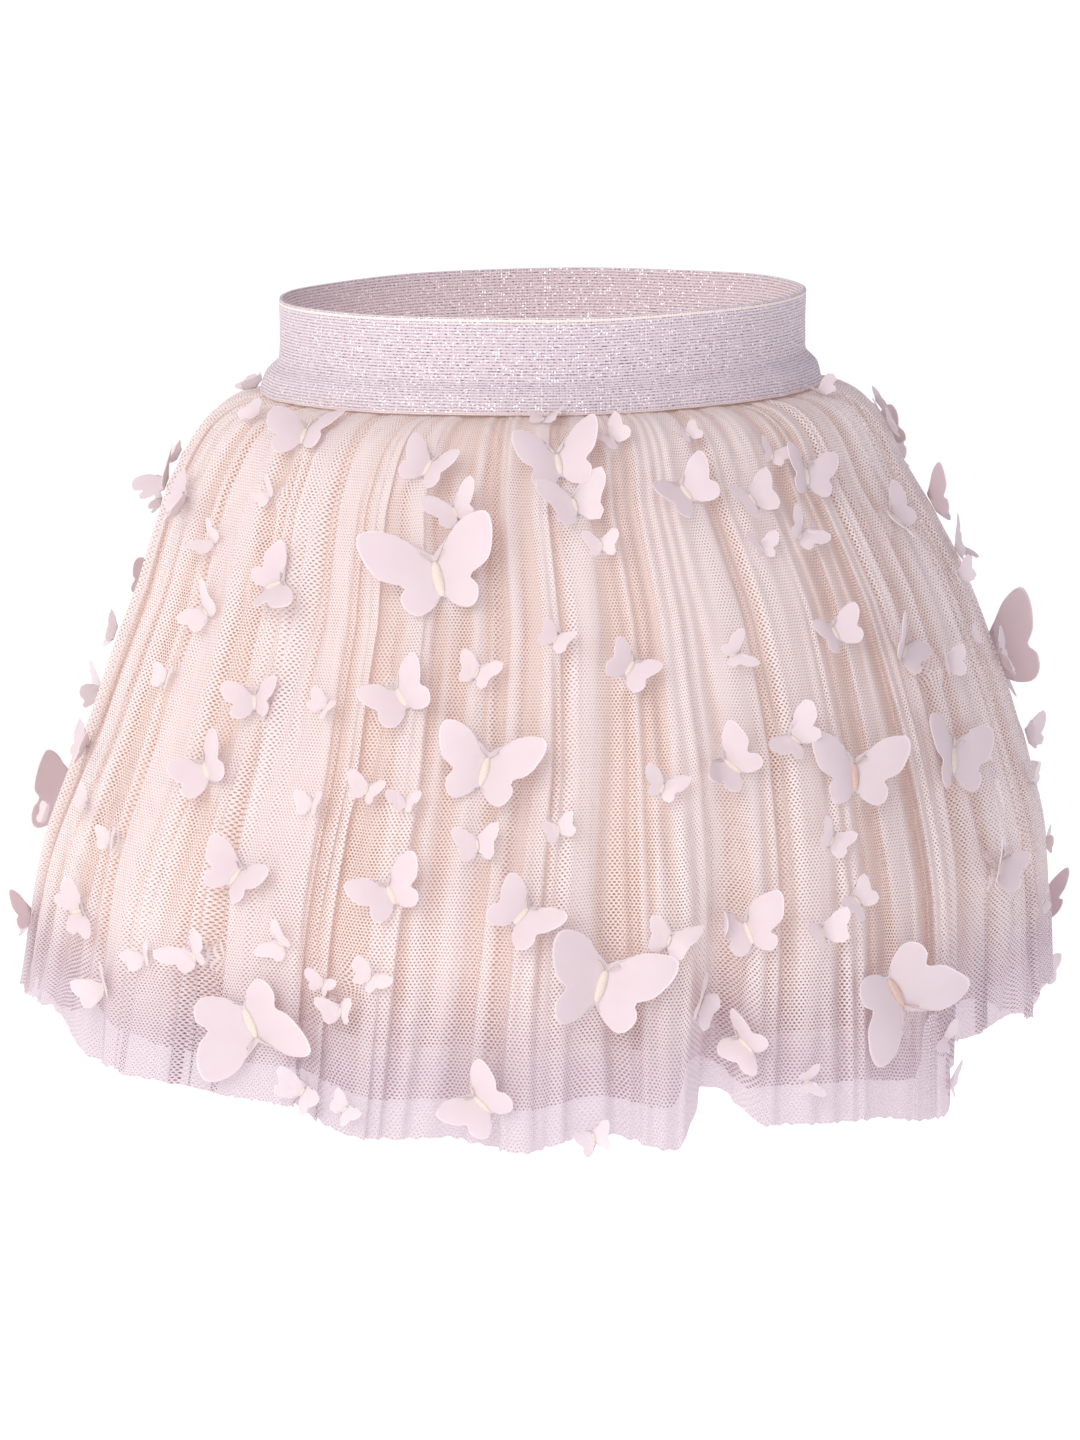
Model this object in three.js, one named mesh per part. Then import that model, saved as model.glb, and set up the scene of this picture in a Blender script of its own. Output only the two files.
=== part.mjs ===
// A child's tulle skirt in its worn shape: a glitter elastic waistband, two gathered layers of net,
// a soft lining under them, and fabric butterflies sewn on by their bodies with loose wings.
// Millimetres, +Z up. The front looks towards -Y and +X is on its right as it is looked at.
// The origin is the centre of the waist opening, at half the height of the waistband.
import * as THREE from "three";

const fullTurn = 2 * Math.PI;
const radians = THREE.MathUtils.degToRad;

// Driving dimensions. The waist is the inside of the band, an ellipse of 523 mm round.
const waist = { halfWidth: 92, halfDepth: 74 };
const wallThickness = 1.2;
const mostRadialThickness = 2;

// The skirt stands out less to the front and back than to the sides.
const depthShare = 0.92;

// The hips stand a little crooked: the right side is higher, the middle of the skirt leans to the
// right, and its hem swings back to the left.
const hipTilt = Math.tan(radians(1.1));
const sway = [
  { z: 0, aside: 0 },
  { z: -46, aside: -1.5 },
  { z: -84, aside: 3 },
  { z: -131, aside: 3.3 },
  { z: -190, aside: 0 },
  { z: -258, aside: -3.6 },
];
const hemDrop = 258;

// The band from its top edge down, inside face first: its lower third opens over the gathers.
const bandThickness = 1.6;
const bandColumns = 64;
const bandSection = [
  { z: 16, out: 0.3 },
  { z: 6, out: 0 },
  { z: -4, out: 0.2 },
  { z: -10, out: 4.8 },
  { z: -16, out: 6.5 },
];

// Each layer from its seam in the band down to its hem. z and out give the bell that the outermost
// crests touch, with out measured from the waist ellipse. gather and fold are how deep the fine
// gathers and the wide folds reach behind the bell. The first fold out of the band is the shoulder.
const tulleRows = [
  { z: -10, out: 4.2, gather: 0.8, fold: 0 },
  { z: -16.6, out: 5.4, gather: 1.1, fold: 0 },
  { z: -18, out: 15, gather: 2, fold: 0.4 },
  { z: -25, out: 27, gather: 3, fold: 1 },
  { z: -46, out: 39.2, gather: 3.4, fold: 1.6 },
  { z: -84, out: 56, gather: 3.4, fold: 2.6 },
  { z: -131, out: 73, gather: 3.2, fold: 3.6 },
  { z: -190, out: 89.5, gather: 3, fold: 4.6 },
  { z: -258, out: 95, gather: 2.8, fold: 5.2 },
];
const underRows = [
  { z: -10, out: 1.7, gather: 0.5, fold: 0 },
  { z: -17.5, out: 2.6, gather: 0.7, fold: 0 },
  { z: -26, out: 12.5, gather: 1.6, fold: 0.5 },
  { z: -60, out: 34.6, gather: 2.4, fold: 1.4 },
  { z: -125, out: 59.5, gather: 2.4, fold: 2.2 },
  { z: -246, out: 82.5, gather: 2.4, fold: 3 },
];
const liningRows = [
  { z: -10, out: -0.4, gather: 0, fold: 0.2 },
  { z: -20, out: 0.6, gather: 0, fold: 0.4 },
  { z: -62, out: 27, gather: 0, fold: 1.6 },
  { z: -130, out: 51.5, gather: 0, fold: 2.6 },
  { z: -229, out: 71.4, gather: 0, fold: 3.4 },
];

// How each layer is gathered. The columns of its grid are worked out at four to each gather.
const columnsPerGather = 4;
const layers = [
  { name: "outer_tulle", rows: tulleRows, gathers: 48, shift: 0.3, colour: "#eddadb" },
  { name: "under_tulle", rows: underRows, gathers: 30, shift: 1.9, colour: "#e8d3d6" },
  { name: "lining", rows: liningRows, gathers: 16, shift: 4.1, colour: "#f0d8d2" },
];
const outerLayer = layers[0];

// The large folds at the hem, by angle from the front: how far each crest or valley stands out of
// the bell, and how far its hem is lifted above the lowest part. Each grows from the waist down.
const hemFolds = [
  { at: -175, out: -3, lift: 2 },
  { at: -155, out: 5, lift: -2 },
  { at: -138, out: -5, lift: 3 },
  { at: -118, out: 4, lift: 1 },
  { at: -92, out: 0, lift: 29 },
  { at: -66, out: 4, lift: 33 },
  { at: -59, out: -4, lift: 16 },
  { at: -46, out: 5, lift: 17 },
  { at: -31, out: -5, lift: 12 },
  { at: -17, out: 3, lift: 3 },
  { at: -10, out: -2, lift: 3 },
  { at: -1, out: 3, lift: -1 },
  { at: 7, out: -3, lift: 3 },
  { at: 15, out: 5, lift: -2 },
  { at: 20, out: -12, lift: 15 },
  { at: 25, out: 3, lift: 3 },
  { at: 37, out: 5, lift: 1 },
  { at: 48, out: 4, lift: -4 },
  { at: 57, out: -6, lift: 18 },
  { at: 74, out: 2, lift: 27 },
  { at: 90, out: 0, lift: 23 },
  { at: 104, out: 2, lift: -1 },
  { at: 122, out: 4, lift: -3 },
  { at: 142, out: -5, lift: 3 },
  { at: 165, out: 4, lift: -2 },
];

// The butterflies of the front and sides: the angle and height of the body, the span of the spread
// wings, how far the body is turned, and how steeply each wing rises from the net.
const frontButterflies = [
  { at: -44, z: -24, span: 26, turn: 20, left: 40, right: 24 },
  { at: -69, z: -52, span: 22, turn: -30, left: 34, right: 46 },
  { at: -90, z: -50, span: 24, turn: 60, left: 52, right: 30 },
  { at: -41, z: -73, span: 26, turn: -65, left: 30, right: 44 },
  { at: -15, z: -68, span: 48, turn: 12, left: 24, right: 30 },
  { at: -18, z: -32, span: 22, turn: -20, left: 40, right: 36 },
  { at: -19, z: -107, span: 28, turn: 35, left: 32, right: 46 },
  { at: -8, z: -131, span: 38, turn: -12, left: 26, right: 34 },
  { at: -40, z: -112, span: 20, turn: 15, left: 42, right: 30 },
  { at: -45, z: -137, span: 27, turn: 40, left: 30, right: 40 },
  { at: -77, z: -142, span: 20, turn: -10, left: 40, right: 30 },
  { at: -37, z: -172, span: 26, turn: -25, left: 36, right: 28 },
  { at: -17, z: -172, span: 26, turn: 30, left: 28, right: 42 },
  { at: -2.5, z: -178, span: 27, turn: -40, left: 40, right: 30 },
  { at: -33, z: -226, span: 47, turn: -153, left: 30, right: 22 },
  { at: -63, z: -200, span: 23, turn: -50, left: 34, right: 30 },
  { at: -79, z: -216, span: 26, turn: 25, left: 26, right: 40 },
  { at: -5.5, z: -243, span: 28, turn: 55, left: 34, right: 26 },
  { at: 6.5, z: -204, span: 44, turn: -15, left: 26, right: 32 },
  { at: 3, z: -31, span: 30, turn: 10, left: 34, right: 26 },
  { at: 10, z: -98, span: 22, turn: -35, left: 44, right: 30 },
  { at: 23, z: -42, span: 25, turn: 30, left: 28, right: 42 },
  { at: 46, z: -41, span: 24, turn: -15, left: 36, right: 30 },
  { at: 22, z: -133, span: 26, turn: 50, left: 30, right: 40 },
  { at: 38, z: -140, span: 37, turn: -10, left: 24, right: 36 },
  { at: 57, z: -143, span: 38, turn: -20, left: 30, right: 26 },
  { at: 52, z: -102, span: 22, turn: -45, left: 40, right: 30 },
  { at: 40, z: -92, span: 20, turn: 15, left: 32, right: 42 },
  { at: 64, z: -60, span: 22, turn: 35, left: 40, right: 30 },
  { at: 88, z: -62, span: 24, turn: -25, left: 46, right: 36 },
  { at: 23, z: -190, span: 29, turn: 24, left: 30, right: 38 },
  { at: 41, z: -214, span: 45, turn: -146, left: 30, right: 24 },
  { at: 23, z: -231, span: 24, turn: 70, left: 36, right: 28 },
  { at: 63, z: -187, span: 27, turn: -30, left: 38, right: 30 },
  { at: 84, z: -118, span: 20, turn: 40, left: 40, right: 30 },
];

// The butterflies behind repeat the mix of the front on staggered rows, from one side to the other.
const backButterflies = {
  heights: [-38, -84, -128, -172, -214],
  firstAngle: 105,
  perRow: 4,
  step: 42,
  stagger: 20,
  spans: [24, 46, 27, 21, 34, 26, 40],
};

// One wing pair, in shares of half the span: from the head round the right wings to the tail.
const wingOutline = [
  { away: 0.44, along: 0.66 },
  { away: 0.78, along: 0.78 },
  { away: 1, along: 0.56 },
  { away: 0.94, along: 0.26 },
  { away: 0.6, along: -0.06 },
  { away: 0.7, along: -0.28 },
  { away: 0.64, along: -0.54 },
  { away: 0.44, along: -0.66 },
  { away: 0.16, along: -0.48 },
];
const bodyLengthShare = 0.36;
const wingThickness = 1.1;

// A butterfly's gap to the gathers, the shares of the way from its body to its rim where the gap is
// kept, the bend of the net below it, and the highest place that a wing lies over, out of the band.
const wingGap = 0.7;
const clearShares = [0, 0.1, 0.2, 0.3, 0.45, 0.6, 0.8];
const netBendRadius = 120;
const shoulderPlace = 1.9;

// The value of a named column at a place between two rows, straight from one row to the next.
function alongRows(rows, name, place) {
  const first = THREE.MathUtils.clamp(Math.floor(place), 0, rows.length - 2);
  return THREE.MathUtils.lerp(rows[first][name], rows[first + 1][name], place - first);
}

// The value of a named column of the hem folds at an angle, easing from each row to the next.
function aroundHem(name, angle) {
  const degrees = THREE.MathUtils.euclideanModulo(
    THREE.MathUtils.radToDeg(angle) - hemFolds[0].at, 360) + hemFolds[0].at;
  const next = hemFolds.findIndex((row) => row.at > degrees);
  const after = next < 0 ? { ...hemFolds[0], at: hemFolds[0].at + 360 } : hemFolds[next];
  const before = next < 0 ? hemFolds[hemFolds.length - 1] : hemFolds[next - 1];
  const share = (degrees - before.at) / (after.at - before.at);
  return THREE.MathUtils.lerp(before[name], after[name], (1 - Math.cos(Math.PI * share)) / 2);
}

// How much of the large hem folds shows at a height: none at the waist, all at the hem.
function hemGrowth(z) {
  return Math.min(1, Math.max(0, -z / hemDrop)) ** 2;
}

// A point at an angle and height, out from the waist ellipse, before the skirt is hung.
function ringPoint(angle, z, out) {
  return new THREE.Vector3(
    Math.sin(angle) * (waist.halfWidth + out),
    -Math.cos(angle) * (waist.halfDepth + depthShare * out),
    z,
  );
}

// The crooked hang of the whole skirt: its right side rises, and its axis sways.
function hang(point) {
  const below = sway.findIndex((row) => row.z < point.z);
  const next = below < 0 ? sway.length - 1 : Math.max(1, below);
  const share = (sway[next - 1].z - point.z) / (sway[next - 1].z - sway[next].z);
  const swing = THREE.MathUtils.lerp(sway[next - 1].aside, sway[next].aside, Math.max(0, share));
  return new THREE.Vector3(point.x + swing, point.y, point.z + hipTilt * point.x);
}

// A point of a layer's bell on one of its rows, with its large folds.
function rowPoint(rows, angle, row) {
  const { z, out } = rows[row];
  const growth = hemGrowth(z);
  const stand = out + growth * aroundHem("out", angle);
  return ringPoint(angle, z + growth * growth * aroundHem("lift", angle), stand);
}

// A point of the bell at any place along the rows, straight from one row to the next.
function bellPoint(rows, angle, place) {
  const first = THREE.MathUtils.clamp(Math.floor(place), 0, rows.length - 2);
  return rowPoint(rows, angle, first).lerp(rowPoint(rows, angle, first + 1), place - first);
}

// The direction straight out of the bell, evened out between the rows above and below.
function bellNormal(rows, angle, place) {
  const above = bellPoint(rows, angle, Math.max(0, place - 0.5));
  const below = bellPoint(rows, angle, Math.min(rows.length - 1, place + 0.5));
  const stepAngle = 1e-3;
  const round = bellPoint(rows, angle + stepAngle, place).sub(bellPoint(rows, angle, place));
  return below.sub(above).cross(round).normalize();
}

// How far the gathers of a layer wander from even spacing, as hand gathers do.
function wander(layer, turn) {
  return 0.018 * Math.sin(5 * turn + layer.shift) + 0.011 * Math.sin(13 * turn + 2 * layer.shift);
}

// The angle of a column: columns are even in gathers, and so uneven in angle.
function columnAngle(layer, column) {
  const turn = (fullTurn * column) / (layer.gathers * columnsPerGather);
  return turn + wander(layer, turn);
}

// The column, with its fraction, that lies at an angle.
function columnAtAngle(layer, angle) {
  let turn = angle;
  for (let step = 0; step < 4; step += 1) turn = angle - wander(layer, turn);
  return (turn / fullTurn) * layer.gathers * columnsPerGather;
}

// How far a column lies behind the bell: fine gathers, and wide folds of two gathers each.
function pleatDepth(layer, column, place) {
  const turn = (fullTurn * column) / (layer.gathers * columnsPerGather);
  const phase = layer.gathers * turn;
  const uneven = 0.8 + 0.2 * Math.sin(7 * turn + 3 * layer.shift);
  const gather = alongRows(layer.rows, "gather", place) * uneven * (1 - Math.cos(phase));
  const fold = alongRows(layer.rows, "fold", place) * (1 - Math.cos(phase / 2));
  return (gather + fold) / 2;
}

// A wall from two grids of points that close round: its two faces, and a strip along each edge.
function closedWall(outside, inside) {
  const rows = outside.length;
  const columns = outside[0].length;
  const positions = [...outside.flat(), ...inside.flat()].flatMap((point) => point.toArray());
  const faces = [];
  const index = (side, row, column) => (side * rows + row) * columns + (column % columns);
  const quad = (a, b, c, d) => faces.push(a, b, c, a, c, d);
  for (let column = 0; column < columns; column += 1) {
    for (let row = 0; row < rows - 1; row += 1) {
      quad(index(0, row, column), index(0, row + 1, column),
        index(0, row + 1, column + 1), index(0, row, column + 1));
      quad(index(1, row, column), index(1, row, column + 1),
        index(1, row + 1, column + 1), index(1, row + 1, column));
    }
    quad(index(0, 0, column), index(0, 0, column + 1), index(1, 0, column + 1), index(1, 0, column));
    quad(index(0, rows - 1, column), index(1, rows - 1, column),
      index(1, rows - 1, column + 1), index(0, rows - 1, column + 1));
  }
  return meshGeometry(positions, faces);
}

function meshGeometry(positions, faces) {
  const geometry = new THREE.BufferGeometry();
  geometry.setAttribute("position", new THREE.Float32BufferAttribute(positions, 3));
  geometry.setIndex(faces);
  geometry.computeVertexNormals();
  return geometry;
}

// One layer of cloth. Its inside lies behind its outside by the wall's thickness, or by more on the
// flanks of a gather, so that the wall is as thick there.
function layerGeometry(layer) {
  const columns = layer.gathers * columnsPerGather;
  const outside = [];
  const inside = [];
  for (let place = 0; place < layer.rows.length; place += 1) {
    const outsideRow = [];
    const insideRow = [];
    for (let column = 0; column < columns; column += 1) {
      const angle = columnAngle(layer, column);
      const crest = bellPoint(layer.rows, angle, place);
      const normal = bellNormal(layer.rows, angle, place);
      const depth = pleatDepth(layer, column, place);
      const pitch = crest.distanceTo(bellPoint(layer.rows, columnAngle(layer, column + 1), place));
      const steps = [-1, 1].map((side) => Math.abs(pleatDepth(layer, column + side, place) - depth));
      const slope = Math.max(...steps) / pitch;
      const thickness = Math.min(mostRadialThickness, wallThickness * Math.hypot(1, slope));
      outsideRow.push(hang(crest.clone().addScaledVector(normal, -depth)));
      insideRow.push(hang(crest.clone().addScaledVector(normal, -depth - thickness)));
    }
    outside.push(outsideRow);
    inside.push(insideRow);
  }
  return closedWall(outside, inside);
}

// The elastic waistband: its section carried round the waist.
function bandGeometry() {
  const ring = (row, extra) => Array.from({ length: bandColumns }, (_, column) =>
    hang(ringPoint((fullTurn * column) / bandColumns, row.z, row.out + extra)));
  return closedWall(
    bandSection.map((row) => ring(row, bandThickness)),
    bandSection.map((row) => ring(row, 0)),
  );
}

// The place along the outer net's rows where its bell is at a height.
function placeAtHeight(z) {
  const below = tulleRows.findIndex((row) => row.z < z);
  const { z: high } = tulleRows[below - 1];
  return below - 1 + (high - z) / (high - tulleRows[below].z);
}

// A spot on the outer net's bell, across and along it in millimetres from an angle and a height.
// What reaches past the hem is kept as an overshoot.
function netSpot(angle, z, across, along) {
  const place = placeAtHeight(z);
  const centre = bellPoint(tulleRows, angle, place);
  const stepAngle = 1e-3;
  const round = bellPoint(tulleRows, angle + stepAngle, place).distanceTo(centre) / stepAngle;
  const stepPlace = 0.02;
  const down = bellPoint(tulleRows, angle, place - stepPlace).distanceTo(centre) / stepPlace;
  const spot = THREE.MathUtils.clamp(place - along / down, shoulderPlace, tulleRows.length - 1);
  const overshoot = along + (spot - place) * down;
  return { angle: angle + across / round, place: spot, overshoot };
}

// The point over a spot, raised off the bell.
function overNet({ angle, place, overshoot }, raise) {
  const point = bellPoint(tulleRows, angle, place);
  point.z += overshoot;
  return hang(point.addScaledVector(bellNormal(tulleRows, angle, place), raise));
}

// One butterfly: a thin double wing, creased along its body, which is sewn down to the gathers
// under it. Each point is placed over the net and raised with its distance from the body. The seat
// is the lowest at which no straight line from body to rim comes nearer to the gathers than the gap.
function butterflyGeometry({ at, z, span, turn, left, right }) {
  const half = span / 2;
  const cosine = Math.cos(radians(turn));
  const sine = Math.sin(radians(turn));
  const spot = ({ away, along }) => netSpot(
    radians(at), z,
    half * (away * cosine - along * sine),
    half * (away * sine + along * cosine),
  );
  const rise = (away) => Math.abs(away) * half * Math.tan(radians(away < 0 ? left : right));
  const rim = [
    { away: 0, along: bodyLengthShare },
    ...wingOutline,
    { away: 0, along: -bodyLengthShare },
    ...wingOutline.toReversed().map(({ away, along }) => ({ away: -away, along })),
  ];
  const seats = rim.flatMap(({ away, along }) => clearShares.map((share) => {
    const under = spot({ away: away * share, along: along * share });
    const depth = pleatDepth(outerLayer, columnAtAngle(outerLayer, under.angle), under.place);
    const reach = half * Math.hypot(away, along);
    const sag = (share * (1 - share) * reach ** 2) / (2 * netBendRadius);
    return wingGap + sag - depth - rise(away * share);
  }));
  const seat = Math.max(...seats);
  const points = [wingThickness, 0].flatMap((height) => [{ away: 0, along: 0 }, ...rim].map((mark) =>
    overNet(spot(mark), seat + rise(mark.away) + height)));
  const side = rim.length + 1;
  const faces = [];
  rim.forEach((_, i) => {
    const a = 1 + i;
    const b = 1 + ((i + 1) % rim.length);
    faces.push(0, b, a, side, side + a, side + b, a, b, side + b, a, side + b, side + a);
  });
  return meshGeometry(points.flatMap((point) => point.toArray()), faces);
}

// The places of the butterflies behind, row by row.
function backPlaces() {
  const { heights, firstAngle, perRow, step, stagger, spans } = backButterflies;
  return heights.flatMap((z, row) => Array.from({ length: perRow }, (_, column) => {
    const count = row * perRow + column;
    return {
      at: firstAngle + step * column + stagger * (row % 2) + 5 * Math.sin(3 * count),
      z: z + 6 * Math.sin(5 * count),
      span: spans[count % spans.length],
      turn: 50 * Math.sin(2.3 * count),
      left: 33 + 9 * Math.sin(1.7 * count),
      right: 33 + 9 * Math.cos(2.9 * count),
    };
  }));
}

function cloth(colour, roughness, metalness = 0) {
  return new THREE.MeshStandardMaterial({ color: colour, roughness, metalness });
}

function namedMesh(name, geometry, material) {
  const mesh = new THREE.Mesh(geometry, material);
  mesh.name = name;
  return mesh;
}

const skirt = new THREE.Group();
skirt.add(namedMesh("waistband", bandGeometry(), cloth("#e6d2d6", 0.45, 0.2)));
layers.forEach((layer) => {
  skirt.add(namedMesh(layer.name, layerGeometry(layer), cloth(layer.colour, 0.8)));
});
const organza = cloth("#f1e2e1", 0.4);
[...frontButterflies, ...backPlaces()].forEach((row, i) => {
  const name = `butterfly_${String(i + 1).padStart(2, "0")}`;
  skirt.add(namedMesh(name, butterflyGeometry(row), organza));
});

export default skirt;
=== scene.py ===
"""A child's tulle skirt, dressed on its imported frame.

A glitter elastic waistband carries two gathered layers of hexagonal net over a peach satin lining,
and satin organza butterflies are sewn to the outer net by their bodies, with loose wings.

Every shape is a grid of points worked out as whole arrays, in millimetres, +Z up. The front looks
towards -Y. An angle round the skirt is 0 at the front and grows towards +X. The origin is the centre
of the waist opening, at half the height of the waistband. Meshes are in metres.
"""

import bmesh
import bpy
import numpy as np
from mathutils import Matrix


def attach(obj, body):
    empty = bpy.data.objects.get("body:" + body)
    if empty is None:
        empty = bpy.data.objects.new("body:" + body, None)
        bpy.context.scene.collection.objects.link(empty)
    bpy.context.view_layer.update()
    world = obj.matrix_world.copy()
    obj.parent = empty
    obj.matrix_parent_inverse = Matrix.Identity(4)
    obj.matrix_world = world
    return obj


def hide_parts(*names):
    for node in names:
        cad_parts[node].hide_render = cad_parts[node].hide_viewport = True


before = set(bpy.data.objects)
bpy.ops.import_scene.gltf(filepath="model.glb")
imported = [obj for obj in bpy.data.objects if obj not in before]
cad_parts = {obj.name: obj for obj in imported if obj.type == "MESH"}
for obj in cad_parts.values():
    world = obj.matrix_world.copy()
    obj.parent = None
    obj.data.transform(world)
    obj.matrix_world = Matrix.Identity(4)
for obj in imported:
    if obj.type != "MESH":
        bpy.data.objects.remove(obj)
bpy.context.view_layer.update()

METRES = 0.001
FULL_TURN = 2 * np.pi

# At scale 1, a wave texture repeats after a twentieth of a full turn.
WAVE_LENGTH = 0.314

# The form, with the same driving dimensions as the solids. The waist is the inside of the band.
WAIST_HALF_WIDTH = 92.0
WAIST_HALF_DEPTH = 74.0
DEPTH_SHARE = 0.92
HIP_TILT = np.tan(np.radians(1.1))
HEM_DROP = 258.0

# The sideways swing of the skirt's middle: height, and how far aside.
SWAY = np.array([(0, 0), (-46, -1.5), (-84, 3), (-131, 3.3), (-190, 0), (-258, -3.6)], float)

# The band's inside face from its top edge down: height, and how far out of the waist.
BAND_THICKNESS = 1.6
BAND_SECTION = np.array([(16, 0.3), (6, 0), (-4, 0.2), (-10, 4.8), (-16, 6.5)], float)

# Each layer from its seam in the band to its hem: height and distance out of the waist, which give
# the bell that the outermost crests touch, and how deep gathers and wide folds reach behind it.
OUTER_ROWS = [
    (-10, 4.2, 0.8, 0),
    (-16.6, 5.4, 1.1, 0),
    (-18, 15, 1.8, 0.4),
    (-25, 27, 3.2, 1),
    (-46, 39.2, 4.4, 1.6),
    (-84, 56, 4.5, 2.6),
    (-131, 73, 3.8, 3.6),
    (-190, 89.5, 3.4, 4.6),
    (-258, 95, 3, 5.2),
]
UNDER_ROWS = [
    (-10, 1.7, 0.5, 0),
    (-17.5, 2.6, 0.7, 0),
    (-26, 12.5, 1.6, 0.5),
    (-60, 34.6, 2.4, 1.4),
    (-125, 59.5, 2.4, 2.2),
    (-246, 82.5, 2.4, 3),
]
LINING_ROWS = [
    (-10, -0.4, 0, 0.2),
    (-20, 0.6, 0, 0.4),
    (-62, 27, 0, 1.6),
    (-130, 51.5, 0, 2.6),
    (-229, 71.4, 0, 3.4),
]

# The large folds at the hem: the angle in degrees, how far the fold stands out of the bell, and
# how far its hem is lifted.
HEM_FOLDS = np.array([
    (-175, -3, 2), (-155, 5, -2), (-138, -5, 3), (-118, 4, 1), (-92, 0, 29), (-66, 4, 33),
    (-59, -4, 16), (-46, 5, 17), (-31, -5, 12), (-17, 3, 3), (-10, -2, 3), (-1, 3, -1), (7, -3, 3),
    (15, 5, -2), (20, -12, 15), (25, 3, 3), (37, 5, 1), (48, 4, -4), (57, -6, 18), (74, 2, 27),
    (90, 0, 23), (104, 2, -1), (122, 4, -3), (142, -5, 3), (165, 4, -2), (185, -3, 2),
], float)

# How much the fine, middle and wide gathers count for, and how square the middle ones are.
GATHER_SHARES = (0.32, 0.42, 0.26)
SQUARENESS = 1.8

# The butterflies that are solids too, at the front and sides: the angle and height of the body, the
# span of the spread wings, the turn of the body, and how steeply the left and right wings rise.
FRONT_BUTTERFLIES = [
    (-44, -24, 26, 20, 40, 24), (-69, -52, 22, -30, 34, 46), (-90, -50, 24, 60, 52, 30),
    (-41, -73, 26, -65, 30, 44), (-15, -68, 48, 12, 24, 30), (-18, -32, 22, -20, 40, 36),
    (-19, -107, 28, 35, 32, 46), (-8, -131, 38, -12, 26, 34), (-40, -112, 20, 15, 42, 30),
    (-45, -137, 27, 40, 30, 40), (-77, -142, 20, -10, 40, 30), (-37, -172, 26, -25, 36, 28),
    (-17, -172, 26, 30, 28, 42), (-2.5, -178, 27, -40, 40, 30), (-33, -226, 47, -153, 30, 22),
    (-63, -200, 23, -50, 34, 30), (-79, -216, 26, 25, 26, 40), (-5.5, -243, 28, 55, 34, 26),
    (6.5, -204, 44, -15, 26, 32), (3, -31, 30, 10, 34, 26), (10, -98, 22, -35, 44, 30),
    (23, -42, 25, 30, 28, 42), (46, -41, 24, -15, 36, 30), (22, -133, 26, 50, 30, 40),
    (38, -140, 37, -10, 24, 36), (57, -143, 38, -20, 30, 26), (52, -102, 22, -45, 40, 30),
    (40, -92, 20, 15, 32, 42), (64, -60, 22, 35, 40, 30), (88, -62, 24, -25, 46, 36),
    (23, -190, 29, 24, 30, 38), (41, -214, 45, -146, 30, 24), (23, -231, 24, 70, 36, 28),
    (63, -187, 27, -30, 38, 30), (84, -118, 20, 40, 40, 30),
]
BACK_HEIGHTS = (-38, -84, -128, -172, -214)
BACK_SPANS = (24, 46, 27, 21, 34, 26, 40)
BACK_FIRST_ANGLE = 105
BACK_PER_ROW = 4
BACK_STEP = 42
BACK_STAGGER = 20

# The smaller butterflies of the front, by the pixel of the photograph that their bodies lie at:
# across, down, the span in millimetres and the turn in degrees, which is read off the photograph.
SMALL_AT_PIXELS = [
    (248, 385, 13, 30), (255, 418, 13, -20), (270, 495, 12, 50), (208, 612, 20, 60),
    (455, 512, 20, 25), (543, 421, 14, -10), (610, 440, 15, 40), (575, 507, 25, 15),
    (770, 458, 13, -30), (750, 500, 22, 20), (800, 535, 17, -50), (955, 553, 15, 35),
    (885, 402, 13, 10), (733, 655, 14, -70), (972, 640, 12, 20), (87, 804, 14, -40),
    (366, 790, 14, -15), (795, 740, 21, 45), (830, 842, 17, -30), (822, 932, 17, 20),
    (1042, 903, 12, -60), (196, 957, 20, 35), (105, 988, 22, 40), (280, 943, 16, 60),
    (370, 978, 15, -35), (342, 1010, 14, 10), (700, 1005, 20, -55), (593, 1145, 17, 20),
    (303, 1092, 21, -25), (945, 1040, 12, 50), (175, 452, 13, 20), (213, 543, 15, 70),
    (600, 545, 13, 0), (687, 435, 12, 20), (556, 638, 15, -30), (478, 672, 16, -20),
    (820, 396, 13, -30), (762, 550, 14, 0), (958, 578, 13, 20), (168, 677, 14, 0),
    (325, 705, 13, -30), (111, 840, 14, 15), (314, 806, 13, 0), (664, 788, 16, -20),
    (558, 828, 14, 20), (478, 845, 18, 10), (943, 662, 18, -10), (1033, 785, 14, 60),
    (144, 957, 14, 30), (325, 985, 12, -15), (670, 940, 18, -20), (808, 1082, 12, -80),
    (950, 1085, 12, 15), (345, 1110, 14, -35), (857, 900, 18, 40), (407, 806, 12, 0),
]

# Wings in shares of half the span, from the head round one side to the tail: away from the body,
# and along it. The body ends close to the first and last places.
WING_OUTLINE = np.array([
    (0.03, 0.26), (0.2, 0.46), (0.45, 0.68), (0.72, 0.77), (0.94, 0.75), (1, 0.6), (0.95, 0.36),
    (0.8, 0.08), (0.6, -0.09), (0.69, -0.28), (0.63, -0.52), (0.45, -0.64), (0.22, -0.54),
    (0.03, -0.34),
], float)
SPINE_SHARE = 0.36
BODY_LENGTH_SHARE = 0.27
BODY_WIDTH_SHARE = 0.08
ANTENNA_RADIUS = 0.36
BODY_SEAT = 0.5

# The solid butterflies whose bodies are pink, by number.
PINK_BODIES = (25, 32)

# The share of a wing's rise that is left, on the large butterflies of the front and on the others.
FRONT_PRESSED = 0.6
SMALL_PRESSED = 0.85

# How many small butterflies are scattered behind and on the under net.
SMALL_BEHIND = 62
SMALL_INSIDE = 44

# The thickness of the lining and of a wing in millimetres.
LINING_THICKNESS = 0.5
WING_THICKNESS = 0.25

# The photograph's frame, and the camera that sees the skirt as it does.
PHOTO_WIDTH = 1080
PHOTO_HEIGHT = 1440
CAMERA_PLACE = (-0.0009, -2.6, 0.32)
CAMERA_PITCH = np.radians(9.99)
LENS = 183.5
SENSOR = 36.0

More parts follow.
